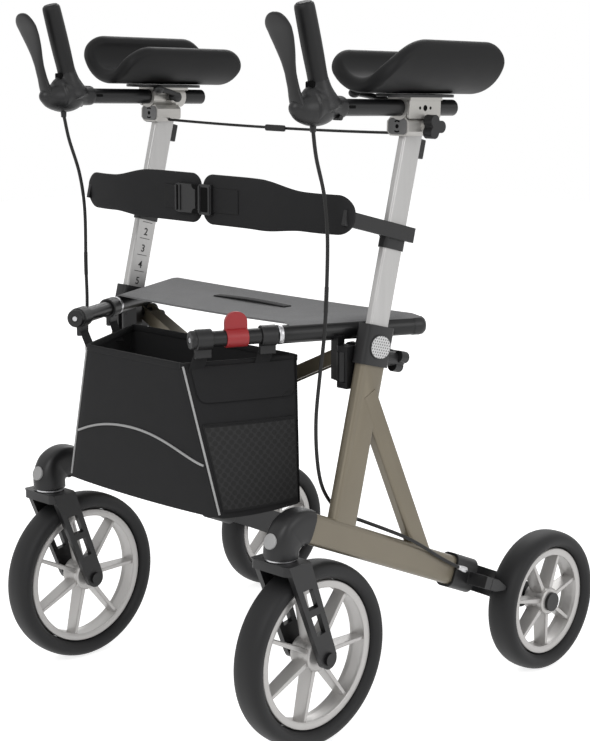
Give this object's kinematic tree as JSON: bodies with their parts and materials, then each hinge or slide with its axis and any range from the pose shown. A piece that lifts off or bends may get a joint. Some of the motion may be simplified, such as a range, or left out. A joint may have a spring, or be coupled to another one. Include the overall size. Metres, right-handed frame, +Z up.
{
  "type": "upright walker",
  "caption": "Folding upright rollator with forearm gutters, sliding masts, brake levers, swivel casters, sling seat, back belt and a hanging bag.",
  "frame": {"origin": "on the floor under the middle of the walker's box", "axes": "+Z up, -Y to the front, +X to the user's left"},
  "size_m": [0.6278, 0.682, 0.977],
  "materials": {
    "frame_paint": "metallic champagne paint, satin",
    "mast_alloy": "anodised, satin",
    "black_plastic": "moulded, fine grain",
    "black_paint": "powder coat, satin",
    "rim_grey": "moulded, smooth",
    "tyre_rubber": "soft rubber, matt",
    "axle_steel": "turned",
    "pad_foam": "moulded soft foam skin",
    "grip_rubber": "soft matt",
    "cable_sheath": "smooth sheath",
    "seat_fabric": "woven sling",
    "bag_fabric": "woven nylon",
    "red_plastic": "moulded"
  },
  "bodies": {
    "left_frame": {"left_side_frame": "frame_paint", "left_height_collar": "black_plastic", "left_caster_head": "black_plastic", "left_rear_bracket": "black_plastic", "left_rear_axle": "axle_steel", "left_brake_cable": "cable_sheath", "seat_sling": "seat_fabric", "bag": "bag_fabric"},
    "left_post": {"left_mast": "mast_alloy", "left_arm_clamp": "mast_alloy", "left_pad_plate": "black_plastic", "left_arm_pad": "pad_foam", "left_belt_arm": "black_plastic", "back_belt": "bag_fabric", "belt_buckle": "black_plastic", "fold_cord": "cable_sheath"},
    "left_arm": {"left_arm_tube": "black_paint", "left_brake_housing": "black_plastic", "left_hand_grip": "grip_rubber"},
    "left_lever": {"left_brake_lever": "black_plastic"},
    "left_cam": {"left_clamp_lever": "black_plastic"},
    "left_arm_screw": {"left_clamp_knob": "black_plastic"},
    "left_mast_screw": {"left_height_knob": "black_plastic"},
    "left_caster": {"left_caster_fork": "black_plastic", "left_front_axle": "axle_steel"},
    "left_front_wheel": {"left_front_rim": "rim_grey", "left_front_tyre": "tyre_rubber"},
    "left_rear_wheel": {"left_rear_rim": "rim_grey", "left_rear_tyre": "tyre_rubber"},
    "left_shoe": {"left_brake_shoe": "black_plastic"},
    "left_gate": {"left_seat_rail": "black_paint"},
    "left_link": {"left_fold_link": "frame_paint"},
    "right_frame": {"right_side_frame": "frame_paint", "right_height_collar": "black_plastic", "right_caster_head": "black_plastic", "right_rear_bracket": "black_plastic", "right_rear_axle": "axle_steel", "right_brake_cable": "cable_sheath"},
    "right_post": {"right_mast": "mast_alloy", "right_arm_clamp": "mast_alloy", "right_pad_plate": "black_plastic", "right_arm_pad": "pad_foam", "right_belt_arm": "black_plastic"},
    "right_arm": {"right_arm_tube": "black_paint", "right_brake_housing": "black_plastic", "right_hand_grip": "grip_rubber"},
    "right_lever": {"right_brake_lever": "black_plastic"},
    "right_cam": {"right_clamp_lever": "black_plastic"},
    "right_arm_screw": {"right_clamp_knob": "black_plastic"},
    "right_mast_screw": {"right_height_knob": "black_plastic"},
    "right_caster": {"right_caster_fork": "black_plastic", "right_front_axle": "axle_steel"},
    "right_front_wheel": {"right_front_rim": "rim_grey", "right_front_tyre": "tyre_rubber"},
    "right_rear_wheel": {"right_rear_rim": "rim_grey", "right_rear_tyre": "tyre_rubber"},
    "right_shoe": {"right_brake_shoe": "black_plastic"},
    "right_gate": {"right_seat_rail": "black_paint"},
    "right_link": {"right_fold_link": "frame_paint"},
    "release_tab": {"release_tab": "red_plastic"}
  },
  "joints": [
    {"name": "fold", "type": "slide", "parent": "left_frame", "child": "right_frame", "axis": [1, 0, 0], "range_m": [0, 0.3], "deforming": ["seat_sling", "bag", "back_belt", "belt_buckle", "fold_cord"]},
    {"name": "left_height", "type": "slide", "parent": "left_frame", "child": "left_post", "axis": [0, 0.2487, 0.9686], "range_m": [-0.1, 0.075], "deforming": ["left_brake_cable"]},
    {"name": "left_height_knob_turn", "type": "hinge", "parent": "left_frame", "child": "left_mast_screw", "pos_m": [0.251, -0.10456, 0.51767], "axis": [0, 0.9686, -0.2487], "continuous": true},
    {"name": "left_arm_slide", "type": "slide", "parent": "left_post", "child": "left_arm", "axis": [0, 0.9994, -0.0349], "range_m": [-0.055, 0.015], "deforming": ["left_brake_cable"]},
    {"name": "left_arm_knob_turn", "type": "hinge", "parent": "left_post", "child": "left_arm_screw", "pos_m": [0.251, -0.02331, 0.81738], "axis": [1, 0, 0], "continuous": true},
    {"name": "left_cam_swing", "type": "hinge", "parent": "left_post", "child": "left_cam", "pos_m": [0.229, -0.02647, 0.8415], "axis": [0, 0.0349, 0.9994], "range_deg": [-80, 0]},
    {"name": "left_brake_squeeze", "type": "hinge", "parent": "left_arm", "child": "left_lever", "pos_m": [0.254, -0.24234, 0.84904], "axis": [1, 0, 0], "range_deg": [-8, 0], "stiffness_Nm_per_rad": 2, "springref_deg": 2.86},
    {"name": "left_shoe_press", "type": "slide", "parent": "left_frame", "child": "left_shoe", "axis": [0, 0.9212, -0.3891], "range_m": [-0.0002, 0.003]},
    {"name": "left_caster_swivel", "type": "hinge", "parent": "left_frame", "child": "left_caster", "pos_m": [0.245, -0.269, 0.268], "axis": [0, 0, 1], "continuous": true},
    {"name": "left_front_spin", "type": "hinge", "parent": "left_caster", "child": "left_front_wheel", "pos_m": [0.245, -0.214, 0.127], "axis": [1, 0, 0], "continuous": true},
    {"name": "left_rear_spin", "type": "hinge", "parent": "left_frame", "child": "left_rear_wheel", "pos_m": [0.288, 0.236, 0.105], "axis": [1, 0, 0], "continuous": true},
    {"name": "left_gate_swing", "type": "hinge", "parent": "left_frame", "child": "left_gate", "pos_m": [0.224, -0.13007, 0.50498], "axis": [0, 0, 1], "range_deg": [0, 23.8], "deforming": ["seat_sling", "bag"]},
    {"name": "left_link_drop", "type": "hinge", "parent": "left_frame", "child": "left_link", "pos_m": [0.219, -0.09707, 0.52298], "axis": [0, 1, 0], "range_deg": [-48.8, 0]},
    {"name": "right_height", "type": "slide", "parent": "right_frame", "child": "right_post", "axis": [0, 0.2487, 0.9686], "range_m": [-0.1, 0.075], "deforming": ["right_brake_cable"]},
    {"name": "right_height_knob_turn", "type": "hinge", "parent": "right_frame", "child": "right_mast_screw", "pos_m": [-0.251, -0.10456, 0.51767], "axis": [0, 0.9686, -0.2487], "continuous": true},
    {"name": "right_arm_slide", "type": "slide", "parent": "right_post", "child": "right_arm", "axis": [0, 0.9994, -0.0349], "range_m": [-0.055, 0.015], "deforming": ["right_brake_cable"]},
    {"name": "right_arm_knob_turn", "type": "hinge", "parent": "right_post", "child": "right_arm_screw", "pos_m": [-0.251, -0.02331, 0.81738], "axis": [1, 0, 0], "continuous": true},
    {"name": "right_cam_swing", "type": "hinge", "parent": "right_post", "child": "right_cam", "pos_m": [-0.229, -0.02647, 0.8415], "axis": [0, 0.0349, 0.9994], "range_deg": [0, 80]},
    {"name": "right_brake_squeeze", "type": "hinge", "parent": "right_arm", "child": "right_lever", "pos_m": [-0.254, -0.24234, 0.84904], "axis": [1, 0, 0], "range_deg": [-8, 0], "stiffness_Nm_per_rad": 2, "springref_deg": 2.86},
    {"name": "right_shoe_press", "type": "slide", "parent": "right_frame", "child": "right_shoe", "axis": [0, 0.9212, -0.3891], "range_m": [-0.0002, 0.003]},
    {"name": "right_caster_swivel", "type": "hinge", "parent": "right_frame", "child": "right_caster", "pos_m": [-0.245, -0.269, 0.268], "axis": [0, 0, 1], "continuous": true},
    {"name": "right_front_spin", "type": "hinge", "parent": "right_caster", "child": "right_front_wheel", "pos_m": [-0.245, -0.214, 0.127], "axis": [1, 0, 0], "continuous": true},
    {"name": "right_rear_spin", "type": "hinge", "parent": "right_frame", "child": "right_rear_wheel", "pos_m": [-0.288, 0.236, 0.105], "axis": [1, 0, 0], "continuous": true},
    {"name": "right_gate_swing", "type": "hinge", "parent": "right_frame", "child": "right_gate", "pos_m": [-0.224, -0.13007, 0.50498], "axis": [0, 0, 1], "range_deg": [-23.8, 0], "deforming": ["seat_sling", "bag"]},
    {"name": "right_link_drop", "type": "hinge", "parent": "right_frame", "child": "right_link", "pos_m": [-0.219, -0.09707, 0.52298], "axis": [0, 1, 0], "range_deg": [0, 48.8]},
    {"name": "release_tab_tilt", "type": "hinge", "parent": "left_gate", "child": "release_tab", "pos_m": [0.14566, -0.25345, 0.54698], "axis": [-0.4035, -0.915, 0], "range_deg": [0, 25], "stiffness_Nm_per_rad": 0.05}
  ],
  "couplings": [
    {"joint": "left_shoe_press", "follows": "left_brake_squeeze", "m_per_rad": -0.019337},
    {"joint": "left_gate_swing", "follows": "fold", "rad_per_m": 1.3832},
    {"joint": "left_link_drop", "follows": "fold", "rad_per_m": -2.8362},
    {"joint": "right_shoe_press", "follows": "right_brake_squeeze", "m_per_rad": -0.019337},
    {"joint": "right_gate_swing", "follows": "fold", "rad_per_m": -1.3832},
    {"joint": "right_link_drop", "follows": "fold", "rad_per_m": 2.8362},
    {"joint": "right_height", "follows": "left_height", "ratio": 1}
  ]
}
